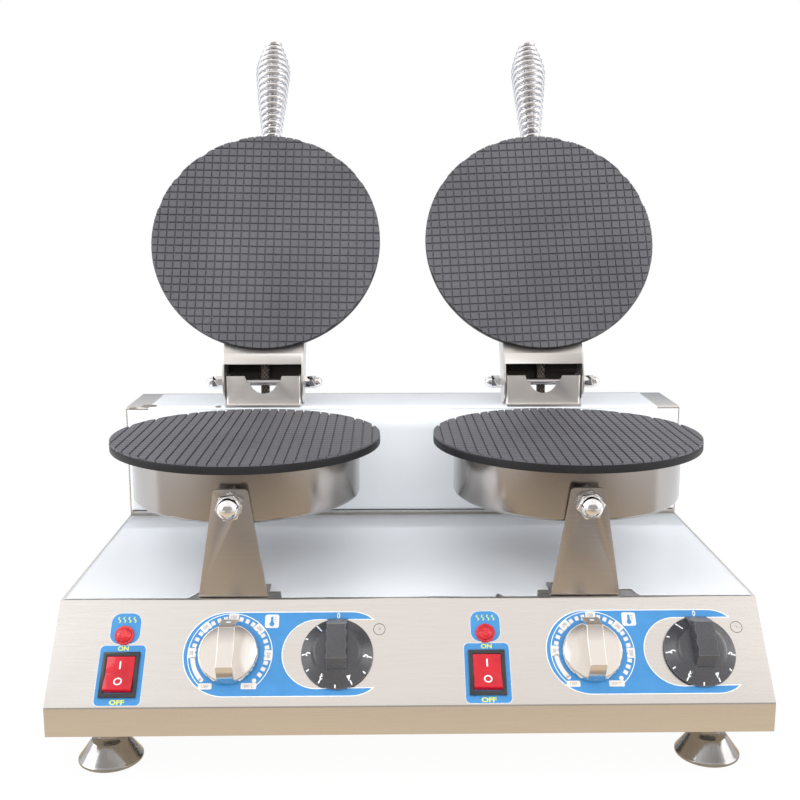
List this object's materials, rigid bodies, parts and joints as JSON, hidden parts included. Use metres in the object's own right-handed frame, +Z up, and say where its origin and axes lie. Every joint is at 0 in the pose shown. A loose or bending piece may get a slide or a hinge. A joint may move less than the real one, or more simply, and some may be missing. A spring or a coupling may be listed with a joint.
{
  "type": "waffle cone maker",
  "caption": "Countertop waffle cone maker: round grid plates under hinged lids with coil handles, on a folded steel base with knobs, switches, lamps and cone-shaped feet.",
  "frame": {"origin": "On the table, in the middle of the box round the whole machine with its lids open", "axes": "+X to the user's right, +Y from the user to the back, +Z up"},
  "size_m": [0.496, 0.4447, 0.5467],
  "materials": {
    "steel_sheet": "brushed stainless sheet",
    "coated_cast_plate": "matt dark non-stick coating on cast iron",
    "bright_metal": "bright chrome plate",
    "zinc_fastener": "bright zinc-plated steel",
    "heater_tube": "heat-darkened steel tube",
    "insulation": "pressed mineral-fibre pad",
    "black_plastic": "moulded, slightly glossy",
    "black_rubber": "moulded rubber",
    "silver_metal": "satin silver",
    "pale_plastic": "moulded",
    "red_rocker": "translucent red moulding",
    "lamp_body": "moulded",
    "lamp_lens": "translucent red moulding",
    "braided_conduit": "flexible metal-braided sleeve"
  },
  "bodies": {
    "base": {"base_shell": "steel_sheet", "bottom_plate": "steel_sheet", "rear_box": "steel_sheet", "rear_panel": "steel_sheet", "cable_gland": "black_plastic", "terminal_block": "pale_plastic", "front_bracket_left": "steel_sheet", "front_bracket_right": "steel_sheet", "drum_studs": "zinc_fastener", "front_acorn_nuts": "bright_metal", "hex_nuts": "zinc_fastener", "case_screws": "zinc_fastener", "lower_drum_left": "steel_sheet", "lower_drum_right": "steel_sheet", "lower_plate_left": "coated_cast_plate", "lower_plate_right": "coated_cast_plate", "lower_heaters": "heater_tube", "lower_insulation": "insulation", "rear_supports": "steel_sheet", "thermostats": "pale_plastic", "timers": "pale_plastic", "switch_housings": "black_plastic", "lamp_holders": "lamp_body", "lamp_lenses": "lamp_lens", "hinge_bracket_left": "steel_sheet", "hinge_bracket_right": "steel_sheet", "hinge_rods": "zinc_fastener", "hinge_nuts": "zinc_fastener", "conduit_grommets": "black_rubber", "conduit_left": "braided_conduit", "conduit_right": "braided_conduit", "foot_studs": "zinc_fastener"},
    "lid_left": {"upper_plate_left": "coated_cast_plate", "upper_drum_left": "steel_sheet", "upper_heater_left": "heater_tube", "upper_insulation_left": "insulation", "lid_bracket_left": "steel_sheet", "handle_stem_left": "zinc_fastener", "handle_coil_left": "bright_metal"},
    "thermostat_knob_body_left": {"thermostat_knob_left": "silver_metal", "thermostat_spindle_left": "zinc_fastener"},
    "timer_knob_body_left": {"timer_knob_left": "black_plastic", "timer_spindle_left": "zinc_fastener"},
    "rocker_body_left": {"rocker_left": "red_rocker"},
    "lid_right": {"upper_plate_right": "coated_cast_plate", "upper_drum_right": "steel_sheet", "upper_heater_right": "heater_tube", "upper_insulation_right": "insulation", "lid_bracket_right": "steel_sheet", "handle_stem_right": "zinc_fastener", "handle_coil_right": "bright_metal"},
    "thermostat_knob_body_right": {"thermostat_knob_right": "silver_metal", "thermostat_spindle_right": "zinc_fastener"},
    "timer_knob_body_right": {"timer_knob_right": "black_plastic", "timer_spindle_right": "zinc_fastener"},
    "rocker_body_right": {"rocker_right": "red_rocker"},
    "foot_body_front_left": {"foot_front_left": "bright_metal"},
    "foot_body_front_right": {"foot_front_right": "bright_metal"},
    "foot_body_back_left": {"foot_back_left": "bright_metal"},
    "foot_body_back_right": {"foot_back_right": "bright_metal"}
  },
  "joints": [
    {"name": "lid_hinge_left", "type": "hinge", "parent": "base", "child": "lid_left", "pos_m": [-0.126, 0.06152, 0.2285], "axis": [1, 0, 0], "range_deg": [0, 115], "deforming": ["conduit_left"]},
    {"name": "lid_hinge_right", "type": "hinge", "parent": "base", "child": "lid_right", "pos_m": [0.126, 0.06152, 0.2285], "axis": [1, 0, 0], "range_deg": [0, 115], "deforming": ["conduit_right"]},
    {"name": "thermostat_turn_left", "type": "hinge", "parent": "base", "child": "thermostat_knob_body_left", "pos_m": [-0.126, -0.19659, 0.07893], "axis": [0, -0.7481, 0.6636], "range_deg": [-140, 140]},
    {"name": "thermostat_turn_right", "type": "hinge", "parent": "base", "child": "thermostat_knob_body_right", "pos_m": [0.126, -0.19659, 0.07893], "axis": [0, -0.7481, 0.6636], "range_deg": [-140, 140]},
    {"name": "timer_turn_left", "type": "hinge", "parent": "base", "child": "timer_knob_body_left", "pos_m": [-0.051, -0.19659, 0.07893], "axis": [0, -0.7481, 0.6636], "range_deg": [-300, 0]},
    {"name": "timer_turn_right", "type": "hinge", "parent": "base", "child": "timer_knob_body_right", "pos_m": [0.201, -0.19659, 0.07893], "axis": [0, -0.7481, 0.6636], "range_deg": [-300, 0]},
    {"name": "rocker_tilt_left", "type": "hinge", "parent": "base", "child": "rocker_body_left", "pos_m": [-0.1995, -0.20442, 0.06784], "axis": [1, 0, 0], "range_deg": [0, 16]},
    {"name": "rocker_tilt_right", "type": "hinge", "parent": "base", "child": "rocker_body_right", "pos_m": [0.0525, -0.20442, 0.06784], "axis": [1, 0, 0], "range_deg": [0, 16]},
    {"name": "foot_turn_front_left", "type": "hinge", "parent": "base", "child": "foot_body_front_left", "pos_m": [-0.212, -0.19048, 0], "axis": [0, 0, 1], "continuous": true},
    {"name": "foot_turn_front_right", "type": "hinge", "parent": "base", "child": "foot_body_front_right", "pos_m": [0.212, -0.19048, 0], "axis": [0, 0, 1], "continuous": true},
    {"name": "foot_turn_back_left", "type": "hinge", "parent": "base", "child": "foot_body_back_left", "pos_m": [-0.212, 0.08952, 0], "axis": [0, 0, 1], "continuous": true},
    {"name": "foot_turn_back_right", "type": "hinge", "parent": "base", "child": "foot_body_back_right", "pos_m": [0.212, 0.08952, 0], "axis": [0, 0, 1], "continuous": true}
  ]
}
